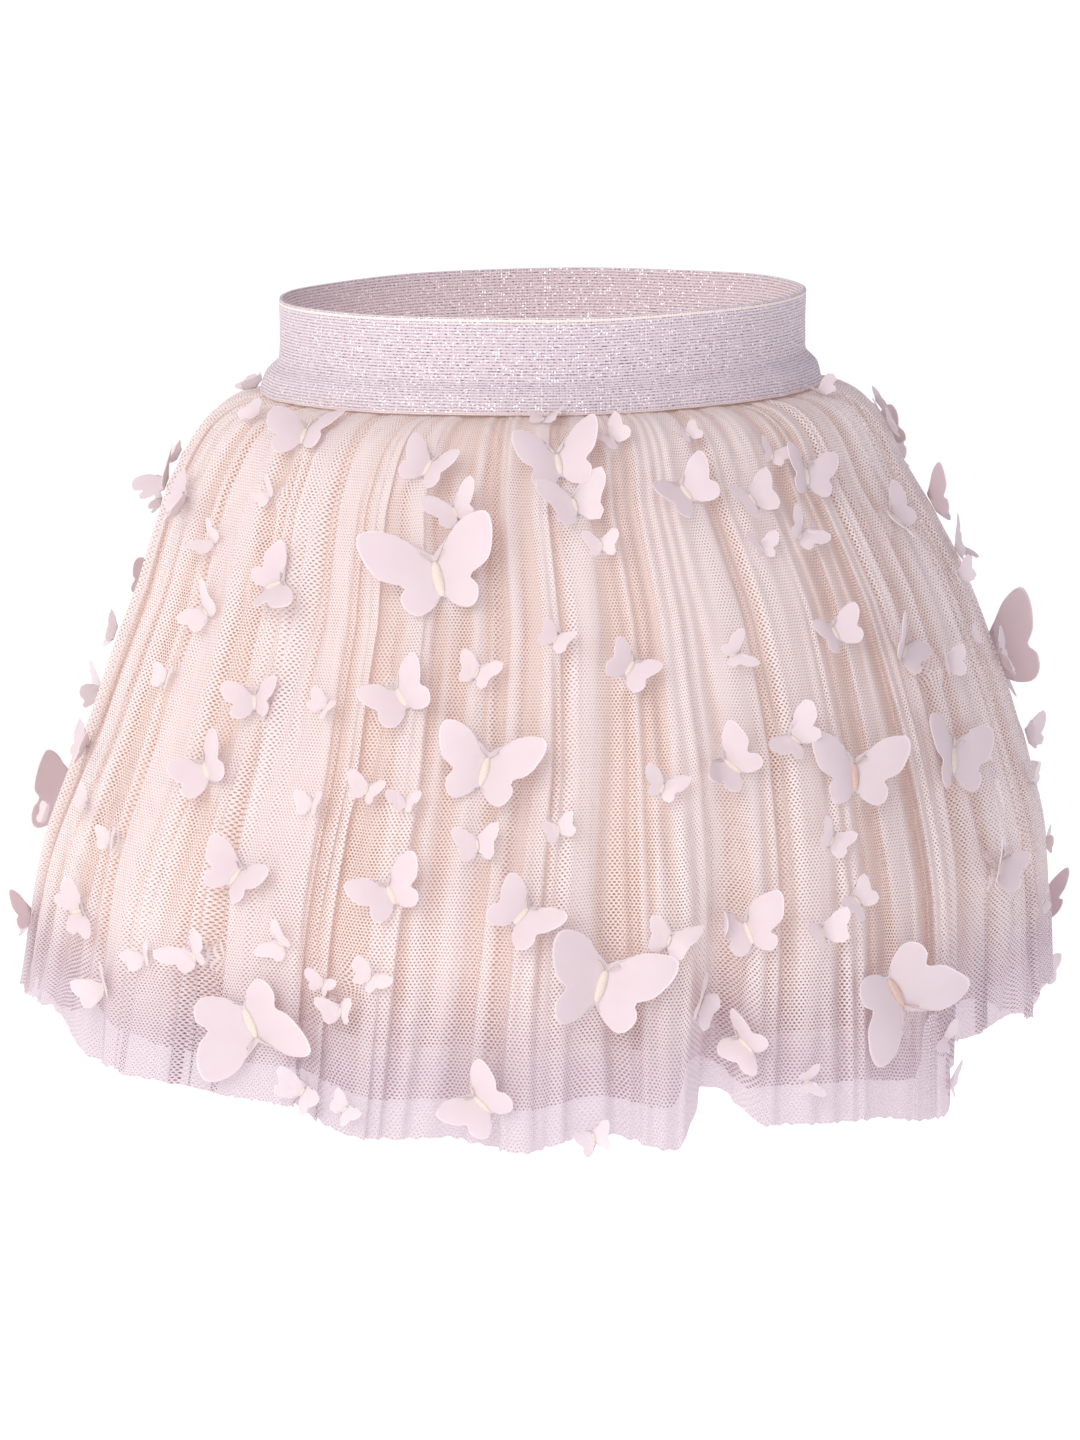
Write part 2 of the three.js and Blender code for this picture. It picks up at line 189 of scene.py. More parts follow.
# The floor in metres: how far below the waist it lies, and its radius.
FLOOR_DROP = 0.62
FLOOR_RADIUS = 40


# Form

def smooth_outline(rows, samples=500):
    """A form table drawn as one smooth line, with the distance down the cloth at each sample.

    A cubic runs from each row to the next. Its slope at a row is the harmonic mean of the slopes on
    both sides of it, or level where they differ in sign, so that no column swings past its rows.
    """
    rows = np.array(rows, float)
    chords = np.hypot(*np.diff(rows[:, :2], axis=0).T)
    knots = np.concatenate([[0], np.cumsum(chords)])
    slopes = np.diff(rows, axis=0) / chords[:, None]
    product = slopes[:-1] * slopes[1:]
    total = np.where(product > 0, slopes[:-1] + slopes[1:], 1)
    tangents = np.vstack([slopes[:1], np.where(product > 0, 2 * product / total, 0), slopes[-1:]])
    places = np.linspace(0, knots[-1], samples)
    first = np.clip(np.searchsorted(knots, places, side="right") - 1, 0, len(rows) - 2)
    length = chords[first][:, None]
    share = (places - knots[first])[:, None] / length
    smooth = (1 + 2 * share) * (1 - share) ** 2 * rows[first]
    smooth += share * (1 - share) ** 2 * length * tangents[first]
    smooth += share ** 2 * (3 - 2 * share) * rows[first + 1]
    smooth += share ** 2 * (share - 1) * length * tangents[first + 1]
    down = np.concatenate([[0], np.cumsum(np.hypot(*np.diff(smooth[:, :2], axis=0).T))])
    return down, smooth


def cloth_layer(rows, fine, middle, wide, seed):
    """A layer's outline, and how many gathers of each size go round it."""
    down, outline = smooth_outline(rows)
    return {"down": down, "outline": outline, "fine": fine, "middle": middle, "wide": wide,
            "seed": seed}


OUTER = cloth_layer(OUTER_ROWS, fine=158, middle=59, wide=21, seed=3)
UNDER = cloth_layer(UNDER_ROWS, fine=108, middle=43, wide=17, seed=11)
LINING = cloth_layer(LINING_ROWS, fine=60, middle=31, wide=16, seed=23)


def outline_at(layer, down):
    """Height, distance out, depth of gathers and depth of folds, at distances down the cloth."""
    return [np.interp(down, layer["down"], column) for column in layer["outline"].T]


def round_the_hem(column, angle):
    """A column of the hem folds at any angle: from row to row along half a cosine wave."""
    at = HEM_FOLDS[:, 0]
    degrees = (np.degrees(angle) - at[0]) % 360 + at[0]
    first = np.clip(np.searchsorted(at, degrees, side="right") - 1, 0, len(at) - 2)
    share = (degrees - at[first]) / (at[first + 1] - at[first])
    values = HEM_FOLDS[:, column]
    return values[first] + (values[first + 1] - values[first]) * (1 - np.cos(np.pi * share)) / 2


def ring(angle, z, out):
    """The waist's ellipse let out by a distance, which counts for less to the front and back."""
    x = np.sin(angle) * (WAIST_HALF_WIDTH + out)
    y = -np.cos(angle) * (WAIST_HALF_DEPTH + DEPTH_SHARE * out)
    return np.stack(np.broadcast_arrays(x, y, z), axis=-1)


def bell(layer, angle, down):
    """The smooth bell that a layer's crests touch.

    The hem's large folds stand out and lift with the square and the fourth power of the drop.
    """
    z, out, _, _ = outline_at(layer, down)
    growth = np.clip(-z / HEM_DROP, 0, 1) ** 2
    stand = out + growth * round_the_hem(1, angle)
    return ring(angle, z + growth ** 2 * round_the_hem(2, angle), stand)


def unit(vectors):
    """Vectors brought to the length 1."""
    return vectors / np.linalg.norm(vectors, axis=-1, keepdims=True)


def bell_directions(layer, angle, down):
    """Directions straight out of the bell and round it, from the slopes of the bell."""
    step_down = 2.0
    step_angle = 0.01
    fall = bell(layer, angle, down + step_down) - bell(layer, angle, down - step_down)
    around = bell(layer, angle + step_angle, down) - bell(layer, angle - step_angle, down)
    return unit(np.cross(fall, around)), unit(around)


def hang(points):
    """The crooked hang of the whole skirt: its right side rises, and its axis sways."""
    aside = np.interp(-points[..., 2], -SWAY[:, 0], SWAY[:, 1])
    lift = HIP_TILT * points[..., 0]
    return points + np.stack([aside, np.zeros_like(aside), lift], axis=-1)


def uneven(seed, cycles, angle, drift=0.0):
    """A smooth uneven value between -1 and 1 round the skirt: the mean of a few sine waves of whole
    numbers of cycles, which start anywhere and drift apart."""
    starts = np.random.default_rng(seed).uniform(0, FULL_TURN, len(cycles))
    return sum(np.sin(count * angle + start + (place + 1) * drift)
               for place, (count, start) in enumerate(zip(cycles, starts))) / len(cycles)


def gather_depth(layer, angle, down):
    """How far the cloth lies behind its bell: cosine waves of three sizes, unevenly spaced and
    unevenly deep, which wander a little on the way down. The middle ones are squared off by a
    hyperbolic tangent, so that their sides are steep and their ridges flat."""
    _, _, gather, fold = outline_at(layer, down)
    seed = layer["seed"]
    drop = down / layer["down"][-1]
    wander = angle + 0.03 * uneven(seed, (7, 19, 41), angle)
    fine_phase = layer["fine"] * wander + 2.4 * uneven(seed + 1, (5, 9, 14), angle, 3 * drop)
    middle_phase = layer["middle"] * wander + 2 * uneven(seed + 2, (4, 7, 11), angle, 2 * drop)
    wide_phase = layer["wide"] * wander + 1.2 * uneven(seed + 3, (2, 3, 5), angle, 2 * drop)
    fine_size = np.clip(0.55 + 0.9 * uneven(seed + 4, (13, 29, 37), angle, 2 * drop), 0.08, 1)
    middle_size = np.clip(0.7 + 0.6 * uneven(seed + 5, (6, 17, 23), angle, drop), 0.2, 1)
    fine = (1 - np.cos(fine_phase)) * fine_size
    squared = np.tanh(SQUARENESS * np.cos(middle_phase)) / np.tanh(SQUARENESS)
    middle = (1 - squared) * middle_size
    wide = 1 - np.cos(wide_phase)
    sizes = zip(GATHER_SHARES, (fine, middle, wide))
    return (gather + fold) * sum(share * size for share, size in sizes) / 2


# Meshes

def grid(points, texture, join_rows=False, join_columns=False, mark=None, material=0):
    """A surface from a grid of points: its squares' corners run down, along, up and back, which
    faces out where the columns grow round the skirt. A joined side wraps to its first row or
    column, and texture then has one row or column more than points. The mark of a point is for the
    material: on a wing 1 at the rim, and on net 0 on a fold's ridge and 1 at its bottom."""
    rows, columns = points.shape[:2]
    row, column = np.meshgrid(np.arange(rows - (not join_rows)),
                              np.arange(columns - (not join_columns)), indexing="ij")
    corner_row = np.stack([row, row + 1, row + 1, row], axis=-1).reshape(-1, 4)
    corner_column = np.stack([column, column, column + 1, column + 1], axis=-1).reshape(-1, 4)
    return {
        "points": points.reshape(-1, 3),
        "faces": corner_row % rows * columns + corner_column % columns,
        "texture": texture[corner_row, corner_column],
        "mark": np.zeros(rows * columns) if mark is None else mark.reshape(-1),
        "material": material,
    }


def piece(name, surfaces, materials, replaced=None):
    """One object from several surfaces, riding on the skirt's one body."""
    starts = np.cumsum([0] + [len(surface["points"]) for surface in surfaces])
    faces = [surface["faces"] + start for surface, start in zip(surfaces, starts)]
    mesh = bpy.data.meshes.new(name)
    points = np.concatenate([surface["points"] for surface in surfaces]) * METRES
    mesh.from_pydata(points.tolist(), [], np.concatenate(faces).tolist())
    texture = np.concatenate([surface["texture"] for surface in surfaces])
    mesh.uv_layers.new(name="cloth").data.foreach_set("uv", texture.ravel())
    mark = mesh.attributes.new("mark", "FLOAT", "POINT")
    mark.data.foreach_set("value", np.concatenate([surface["mark"] for surface in surfaces]))
    numbers = [np.full(len(surface["faces"]), surface["material"]) for surface in surfaces]
    mesh.polygons.foreach_set("material_index", np.concatenate(numbers))
    for material in materials:
        mesh.materials.append(material)
    mesh.shade_smooth()
    made = bpy.data.objects.new(name, mesh)
    bpy.context.scene.collection.objects.link(made)
    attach(made, "root")
    if replaced:
        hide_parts(replaced)
    return made


def close_poles(made):
    """Joins the points that a grid's end rows bring together, and marks a sheet's open rim as
    sharp, so that a cut edge stays thin and flat when the sheet gets its thickness."""
    work = bmesh.new()
    work.from_mesh(made.data)
    bmesh.ops.remove_doubles(work, verts=work.verts, dist=1e-6)
    for edge in work.edges:
        edge.smooth = not edge.is_boundary
    work.to_mesh(made.data)
    work.free()


def cut_cloth(points, pitch):
    """The place of each point on the flat cloth in millimetres: the mean length of the columns'
    steps added up round the skirt, in a whole number of pitches, and of the rows' steps down it."""
    around = np.linalg.norm(np.roll(points, -1, axis=1) - points, axis=-1).mean(axis=0)
    down = np.linalg.norm(np.diff(points, axis=0), axis=-1).mean(axis=1)
    across = np.concatenate([[0], np.cumsum(around)])
    across *= round(across[-1] / pitch) * pitch / across[-1]
    along = np.concatenate([[0], np.cumsum(down)])
    return np.stack(np.meshgrid(across, along), axis=-1)


def colour(code):
    """A linear colour from an sRGB hex value."""
    parts = np.array([int(code[place:place + 2], 16) for place in (1, 3, 5)]) / 255
    linear = np.where(parts <= 0.04045, parts / 12.92, ((parts + 0.055) / 1.055) ** 2.4)
    return (*linear.tolist(), 1.0)


# Materials

def new_material(name):
    """An empty material, and its node tree."""
    material = bpy.data.materials.new(name)
    material.use_nodes = True
    material.node_tree.nodes.clear()
    return material, material.node_tree


def add_node(tree, kind, inputs=(), **settings):
    """Adds a node, sets its properties, and fills its inputs with values or other nodes' outputs."""
    made = tree.nodes.new(kind)
    for name, value in settings.items():
        setattr(made, name, value)
    for place, value in dict(inputs).items():
        if isinstance(value, bpy.types.NodeSocket):
            tree.links.new(value, made.inputs[place])
        else:
            made.inputs[place].default_value = value
    return made


def hexagon_threads(tree, pitch, reach_of_hole):
    """1 on the threads of a hexagonal net and 0 in its holes.

    Of the two staggered grids of cell centres, the nearer centre counts. The distance to it is
    measured along the hexagon's three directions, and past the hole's reach, in shares of the
    pitch, there is thread.
    """
    cell = (1.0, 3 ** 0.5, 1.0)
    half = tuple(side / 2 for side in cell)
    far = 40.0
    uv = add_node(tree, "ShaderNodeUVMap", uv_map="cloth").outputs[0]
    place = add_node(tree, "ShaderNodeMapping", {
        "Vector": uv, "Location": (far, far, 0), "Scale": (1 / pitch, 1 / pitch, 1)}).outputs[0]
    reaches = []
    for shift in ((0, 0, 0), half):
        moved = add_node(tree, "ShaderNodeVectorMath", {0: place, 1: shift}, operation="SUBTRACT")
        inside = add_node(tree, "ShaderNodeVectorMath", {0: moved.outputs[0], 1: cell},
                          operation="MODULO")
        centred = add_node(tree, "ShaderNodeVectorMath", {0: inside.outputs[0], 1: half},
                           operation="SUBTRACT")
        flat = add_node(tree, "ShaderNodeVectorMath", {0: centred.outputs[0], 1: (1, 1, 0)},
                        operation="MULTIPLY")
        side = add_node(tree, "ShaderNodeVectorMath", {0: flat.outputs[0]}, operation="ABSOLUTE")
        slanted = add_node(tree, "ShaderNodeVectorMath", {0: side.outputs[0], 1: half},
                           operation="DOT_PRODUCT")
        straight = add_node(tree, "ShaderNodeSeparateXYZ", {0: side.outputs[0]})
        reach = add_node(tree, "ShaderNodeMath", {0: slanted.outputs["Value"],
                                                  1: straight.outputs["X"]}, operation="MAXIMUM")
        reaches.append(reach.outputs[0])
    nearer = add_node(tree, "ShaderNodeMath", {0: reaches[0], 1: reaches[1]}, operation="MINIMUM")
    thread = add_node(tree, "ShaderNodeMath", {0: nearer.outputs[0], 1: reach_of_hole},
                      operation="GREATER_THAN")
    return thread.outputs[0]


def nylon_net(name, tones_and_painted_light, pitch, holes):
    """Soft warp-knitted nylon net: matt threads that some light passes through, round open
    hexagons. The eye gets a fine even mesh in pale strips. On a fold's ridge the net lies close and
    pinkish white, and at its bottom it is open and its threads are painted peach, as painted bounce
    light from the lining. Near the hem the threads are painted greyer and the holes darker, as
    painted shade for the dimmer light where nothing pale lies behind the net. Threads too fine to
    draw cross each hole, and the tint of the hole stands for them."""
    material, tree = new_material(name)
    ridge_tone, fold_bounce_tone, hem_shade_tone = (colour(tone) for tone in tones_and_painted_light)
    depth = add_node(tree, "ShaderNodeAttribute", attribute_name="mark").outputs["Fac"]
    bottom = add_node(tree, "ShaderNodeMapRange", {
        "Value": depth, "From Min": FOLD_BOTTOM[0], "From Max": FOLD_BOTTOM[1]}).outputs[0]
    reach = add_node(tree, "ShaderNodeMapRange", {
        "Value": bottom, "To Min": holes[0] / 2, "To Max": holes[1] / 2})
    threads = hexagon_threads(tree, pitch, reach.outputs[0])
    uv = add_node(tree, "ShaderNodeUVMap", uv_map="cloth").outputs[0]
    down = add_node(tree, "ShaderNodeSeparateXYZ", {0: uv}).outputs["Y"]
    # Painted shade: the share by which the net greys towards the hem.
    hem_shade_share = add_node(tree, "ShaderNodeMapRange", {
        "Value": down, "From Min": HEM_SHADE[0], "From Max": HEM_SHADE[1]},
        interpolation_type="SMOOTHSTEP").outputs[0]
    # Painted bounce light: a fold's bottom turns the threads the lining's peach.
    painted_fold_bounce = add_node(tree, "ShaderNodeMix", {"Factor": bottom, 6: ridge_tone, 7: fold_bounce_tone},
                      data_type="RGBA")
    # Painted shade: the threads turn greyer towards the hem.
    shade = add_node(tree, "ShaderNodeMix", {"Factor": hem_shade_share, 6: painted_fold_bounce.outputs[2],
                                             7: hem_shade_tone}, data_type="RGBA")
    # The holes' tint stands for threads too fine to draw; towards the hem it darkens as painted
    # shade.
    tint = add_node(tree, "ShaderNodeMix", {"Factor": hem_shade_share, 6: colour("#f5eae8"),
                                            7: colour("#d3c6cd")}, data_type="RGBA")
    front = add_node(tree, "ShaderNodeBsdfPrincipled", {
        "Base Color": shade.outputs[2], "Roughness": 0.75, "IOR": 1.53, "Sheen Weight": 0.15})
    through = add_node(tree, "ShaderNodeBsdfTranslucent", {"Color": shade.outputs[2]})
    thread = add_node(tree, "ShaderNodeMixShader", {0: 0.36, 1: front.outputs[0],
                                                    2: through.outputs[0]})
    hole_fill_and_shade = add_node(tree, "ShaderNodeBsdfTransparent", {"Color": tint.outputs[2]})
    cloth = add_node(tree, "ShaderNodeMixShader", {0: threads, 1: hole_fill_and_shade.outputs[0],
                                                   2: thread.outputs[0]})
    add_node(tree, "ShaderNodeOutputMaterial", {"Surface": cloth.outputs[0]})
    return material


def satin_lining():
    """Woven polyester satin in peach: opaque, with a soft broad sheen and a fine crosswise rib."""
    material, tree = new_material("peach_satin_lining")
    uv = add_node(tree, "ShaderNodeUVMap", uv_map="cloth").outputs[0]
    # The threads are 0.2 mm apart. They are drawn at 0.5 mm, or they would not show.
    rib = add_node(tree, "ShaderNodeTexWave", {"Vector": uv, "Scale": WAVE_LENGTH / 0.5,
                                               "Distortion": 0.4}, bands_direction="Y")
    shade = add_node(tree, "ShaderNodeTexNoise", {"Vector": uv, "Scale": 0.03, "Detail": 3.0})
    tone = add_node(tree, "ShaderNodeMix", {
        "Factor": shade.outputs["Fac"], 6: colour("#feece2"), 7: colour("#fff5ee")},
        data_type="RGBA")
    relief = add_node(tree, "ShaderNodeBump", {"Height": rib.outputs["Fac"], "Strength": 0.25,
                                               "Distance": 0.0001})
    front = add_node(tree, "ShaderNodeBsdfPrincipled", {
        "Base Color": tone.outputs[2], "Roughness": 0.48, "IOR": 1.5, "Sheen Weight": 0.2,
        "Normal": relief.outputs[0]})
    add_node(tree, "ShaderNodeOutputMaterial", {"Surface": front.outputs[0]})
    return material


def satin_organza():
    """Satin-finished polyester organza, cut with a hot knife: almost opaque, pinkish white, with a
    silky sheen, and a thin brighter line painted along the rim: a painted highlight, partly also the
    whiter edge that the hot knife melts."""
    material, tree = new_material("satin_organza")
    uv = add_node(tree, "ShaderNodeUVMap", uv_map="cloth").outputs[0]
    rim = add_node(tree, "ShaderNodeAttribute", attribute_name="mark").outputs["Fac"]
    edge = add_node(tree, "ShaderNodeMapRange", {"Value": rim, "From Min": 0.96, "From Max": 0.99})
    weave = add_node(tree, "ShaderNodeTexWave", {"Vector": uv, "Scale": WAVE_LENGTH / 0.4,
                                                 "Distortion": 0.3}, bands_direction="DIAGONAL")
    shade = add_node(tree, "ShaderNodeTexNoise", {"Vector": uv, "Scale": 0.12, "Detail": 2.0})
    tone = add_node(tree, "ShaderNodeMix", {
        "Factor": shade.outputs["Fac"], 6: colour("#efe1e4"), 7: colour("#f3e8ea")},
        data_type="RGBA")
    # Painted highlight: a thin brighter line along the wing's rim, partly also the whiter melted
    # edge.
    sealed_rim_highlight = add_node(tree, "ShaderNodeMix", {
        "Factor": edge.outputs[0], 6: tone.outputs[2], 7: colour("#fbf3f5")}, data_type="RGBA")
    relief = add_node(tree, "ShaderNodeBump", {"Height": weave.outputs["Fac"], "Strength": 0.15,
                                               "Distance": 0.0001})
    front = add_node(tree, "ShaderNodeBsdfPrincipled", {
        "Base Color": sealed_rim_highlight.outputs[2], "Roughness": 0.42, "IOR": 1.5, "Sheen Weight": 0.3,
        "Sheen Roughness": 0.4, "Normal": relief.outputs[0]})
    through = add_node(tree, "ShaderNodeBsdfTranslucent", {"Color": sealed_rim_highlight.outputs[2]})
    cloth = add_node(tree, "ShaderNodeMixShader", {0: 0.34, 1: front.outputs[0],
                                                   2: through.outputs[0]})
    add_node(tree, "ShaderNodeOutputMaterial", {"Surface": cloth.outputs[0]})
    return material


def rayon_thread(name, tone, groove_shade_tone):
    """Rayon embroidery thread in satin stitch: glossy strands laid side by side, with a darker line
    painted between each two as painted shade in the groove."""
    material, tree = new_material(name)
    uv = add_node(tree, "ShaderNodeUVMap", uv_map="cloth").outputs[0]
    strands = add_node(tree, "ShaderNodeTexWave", {"Vector": uv, "Scale": WAVE_LENGTH / 0.45,
                                                   "Distortion": 0.6}, bands_direction="Y")
    relief = add_node(tree, "ShaderNodeBump", {"Height": strands.outputs["Fac"], "Strength": 0.5,
                                               "Distance": 0.0002})
    # Painted shade: the grooves between the strands are darker.
    shade = add_node(tree, "ShaderNodeMix", {
        "Factor": strands.outputs["Fac"], 6: colour(groove_shade_tone), 7: colour(tone)}, data_type="RGBA")
    front = add_node(tree, "ShaderNodeBsdfPrincipled", {
        "Base Color": shade.outputs[2], "Roughness": 0.4, "IOR": 1.52, "Sheen Weight": 0.1,
        "Normal": relief.outputs[0]})
    add_node(tree, "ShaderNodeOutputMaterial", {"Surface": front.outputs[0]})
    return material


# Knitted elastic: the height of a course and the width of a wale in millimetres.
COURSE = 1.07
WALE = 0.9


def glitter_elastic(lower_edge):
    """Warp-knitted elastic with a metallised yarn: fine level courses in pinkish lilac, broken by
    dark dashes between the stitches and by bright silver specks whose white colour is partly a
    painted glint, with a plain cream selvedge."""
    material, tree = new_material("glitter_elastic")
    uv = add_node(tree, "ShaderNodeUVMap", uv_map="cloth").outputs[0]
    parts = add_node(tree, "ShaderNodeSeparateXYZ", {0: uv})
    courses = add_node(tree, "ShaderNodeTexWave", {"Vector": uv, "Scale": WAVE_LENGTH / COURSE,
                                                   "Distortion": 0.5, "Detail": 1.0},
                       bands_direction="Y")
    wales = add_node(tree, "ShaderNodeTexWave", {"Vector": uv, "Scale": WAVE_LENGTH / WALE,
                                                 "Distortion": 1.0, "Detail": 1.0},
                     bands_direction="X")
    stitch = add_node(tree, "ShaderNodeMapping", {"Vector": uv, "Scale": (1.3, 1.9, 1)})
    dashes = add_node(tree, "ShaderNodeTexNoise", {"Vector": stitch.outputs[0], "Scale": 1.0,
                                                   "Detail": 2.0})
    dark = add_node(tree, "ShaderNodeMapRange", {"Value": dashes.outputs["Fac"], "From Min": 0.5,
                                                 "From Max": 0.62})
    gap = add_node(tree, "ShaderNodeMapRange", {"Value": courses.outputs["Fac"], "From Min": 0.6,
                                                "From Max": 0.2})
    dash = add_node(tree, "ShaderNodeMath", {0: dark.outputs[0], 1: gap.outputs[0]},
                    operation="MULTIPLY")
    specks = add_node(tree, "ShaderNodeTexVoronoi", {"Vector": uv, "Scale": 1.25,
                                                     "Randomness": 1.0})
    chosen = add_node(tree, "ShaderNodeSeparateColor", {0: specks.outputs["Color"]})
    bright = add_node(tree, "ShaderNodeMath", {0: chosen.outputs[0], 1: 0.72},
                      operation="GREATER_THAN")
    small = add_node(tree, "ShaderNodeMath", {0: specks.outputs["Distance"], 1: 0.36},
                     operation="LESS_THAN")
    glint = add_node(tree, "ShaderNodeMath", {0: bright.outputs[0], 1: small.outputs[0]},
                     operation="MULTIPLY")
    yarn = add_node(tree, "ShaderNodeMix", {
        "Factor": courses.outputs["Fac"], 6: colour("#cab8bf"), 7: colour("#e4d6da")},
        data_type="RGBA")
    dashed = add_node(tree, "ShaderNodeMix", {
        "Factor": dash.outputs[0], 6: yarn.outputs[2], 7: colour("#6b5a69")}, data_type="RGBA")
    # The specks' white colour is partly a painted glint, partly the silver of the metallised yarn.
    lit = add_node(tree, "ShaderNodeMix", {
        "Factor": glint.outputs[0], 6: dashed.outputs[2], 7: colour("#fffdfd")}, data_type="RGBA")
    top = add_node(tree, "ShaderNodeMath", {0: parts.outputs["Y"], 1: SELVEDGE},
                   operation="LESS_THAN")
    below = add_node(tree, "ShaderNodeMath", {0: parts.outputs["Y"], 1: lower_edge, 2: SELVEDGE},
                     operation="COMPARE")
    edges = add_node(tree, "ShaderNodeMath", {0: top.outputs[0], 1: below.outputs[0]},
                     operation="MAXIMUM")
    edged = add_node(tree, "ShaderNodeMix", {
        "Factor": edges.outputs[0], 6: lit.outputs[2], 7: colour("#f6e4dc")}, data_type="RGBA")
    knit = add_node(tree, "ShaderNodeMath", {0: courses.outputs["Fac"], 1: wales.outputs["Fac"]},
                    operation="ADD")
    relief = add_node(tree, "ShaderNodeBump", {"Height": knit.outputs[0], "Strength": 0.6,
                                               "Distance": 0.0002})
    metal = add_node(tree, "ShaderNodeMath", {0: glint.outputs[0], 1: 0.7}, operation="MULTIPLY")
    gloss = add_node(tree, "ShaderNodeMapRange", {"Value": glint.outputs[0], "To Min": 0.55,
                                                  "To Max": 0.3})
    front = add_node(tree, "ShaderNodeBsdfPrincipled", {
        "Base Color": edged.outputs[2], "Metallic": metal.outputs[0],
        "Roughness": gloss.outputs[0], "Normal": relief.outputs[0]})
    add_node(tree, "ShaderNodeOutputMaterial", {"Surface": front.outputs[0]})
    return material


# Waistband

BAND_COLUMNS = 420
SELVEDGE = 0.9
BAND_EDGE_ROUND = 6


def band_section():
    """The band's section as one closed loop, from the top of the outside down, round the lower
    edge, up the inside and round the upper edge. An edge is half a circle of the cloth's
    thickness. Given as heights and distances out."""
    _, inside = smooth_outline(BAND_SECTION, samples=70)
    thick = np.array([0, BAND_THICKNESS])
    outside = inside + thick
    turn = np.linspace(0, np.pi, BAND_EDGE_ROUND + 2)[1:-1]
    radius = BAND_THICKNESS / 2
    arc = np.stack([-np.sin(turn), np.cos(turn)], axis=-1) * radius
    lower = inside[-1] + thick / 2 + arc
    upper = inside[0] + thick / 2 - arc
    return np.concatenate([outside, lower, inside[::-1], upper])


def waistband():
    """The elastic: its section carried round the waist, where the gathers below push its lower
    edge in and out a little."""
    angle = np.linspace(0, FULL_TURN, BAND_COLUMNS, endpoint=False)
    section = band_section()
    z = section[:, :1]
    low = np.clip((-4 - z) / 12, 0, 1)
    pushed = 0.5 * low * uneven(51, (19, 31, 43), angle)
    rise = 0.35 * uneven(52, (3, 5, 8), angle)
    points = hang(ring(angle, z + rise, section[:, 1:] + pushed))
    loop = np.linalg.norm(np.roll(section, -1, axis=0) - section, axis=-1)
    along = np.concatenate([[0], np.cumsum(loop)])
    around = np.linspace(0, FULL_TURN * (WAIST_HALF_WIDTH + WAIST_HALF_DEPTH) / 2, BAND_COLUMNS + 1)
    texture = np.stack(np.meshgrid(around, along), axis=-1)
    surface = grid(points, texture, join_rows=True, join_columns=True)
    lower_edge = along[np.argmin(section[:, 0])]
    return piece("waistband_elastic", [surface], [glitter_elastic(lower_edge)],
                 "waistband")


# Layers of cloth

NET_PITCH = 1.2
NET_HOLES = (0.5, 0.64)
FOLD_BOTTOM = (0.3, 0.46)
HEM_SHADE = (205, 250)


def row_places(layer, rows):
    """Distances down a layer, closer together near the waist, where it bends most."""
    return layer["down"][-1] * np.linspace(0, 1, rows)[:, None] ** 1.35


def held_flat(points, centres, reaches):
    """1 where a butterfly's stitches hold the gathers up, falling away as a bell curve."""
    held = np.zeros(points.shape[:-1])
    for centre, reach in zip(centres, reaches):
        distance = np.sum((points - centre) ** 2, axis=-1)
        held = np.maximum(held, np.exp(-distance / reach ** 2))
    return held


def cloth_points(layer, rows, columns, lean, stitched=None):
    """A layer of cloth: behind its bell by the depth of its gathers, which also lean sideways by a
    changing share of that depth, so that the fine folds lie over each other in places. Also gives
    each point's depth as a share of the deepest."""
    angle = np.linspace(0, FULL_TURN, columns, endpoint=False)[None, :]
    down = row_places(layer, rows)
    points = bell(layer, angle, down)
    outward, around = bell_directions(layer, angle, down)
    depth = gather_depth(layer, angle, down)
    if stitched:
        depth = depth * (1 - held_flat(points, *stitched))
    aside = depth * lean * uneven(layer["seed"] + 6, (5, 8, 13), angle + 0 * down)
    frayed = 0.5 * (down / layer["down"][-1]) ** 12 * uneven(layer["seed"] + 7, (211, 337), angle)
    points = points - outward * depth[..., None] + around * aside[..., None]
    points[..., 2] += frayed
    _, _, gather, fold = outline_at(layer, down)
    return hang(points), np.clip(depth / (gather + fold), 0, 1)


def cloth_piece(name, cloth, material, replaced, pitch=NET_PITCH):
    """One layer of cloth as a sheet, joined into a ring."""
    points, fold_mark = cloth
    surface = grid(points, cut_cloth(points, pitch), join_columns=True, mark=fold_mark)
    return piece(name, [surface], [material], replaced)


# Butterflies

def butterfly_rows():
    """The butterflies that are solids too: those ahead from their table, and those behind on
    staggered rows that repeat the mix of sizes."""
    rows = list(FRONT_BUTTERFLIES)
    for line, z in enumerate(BACK_HEIGHTS):
        for place in range(BACK_PER_ROW):
            count = line * BACK_PER_ROW + place
            rows.append((
                BACK_FIRST_ANGLE + BACK_STEP * place + BACK_STAGGER * (line % 2)
                + 5 * np.sin(3 * count),
                z + 6 * np.sin(5 * count),
                BACK_SPANS[count % len(BACK_SPANS)],
                50 * np.sin(2.3 * count),
                33 + 9 * np.sin(1.7 * count),
                33 + 9 * np.cos(2.9 * count),
            ))
    return rows


def in_photo(points):
    """The pixels of the photograph at which points in millimetres are seen."""
    ahead = np.array([0, np.cos(CAMERA_PITCH), -np.sin(CAMERA_PITCH)])
    above = np.array([0, np.sin(CAMERA_PITCH), np.cos(CAMERA_PITCH)])
    offset = points - np.array(CAMERA_PLACE) / METRES
    distance = offset @ ahead
    scale = LENS / SENSOR * PHOTO_HEIGHT / distance
    return np.stack([PHOTO_WIDTH / 2 + scale * offset[..., 0],
                     PHOTO_HEIGHT / 2 - scale * (offset @ above)], axis=-1)


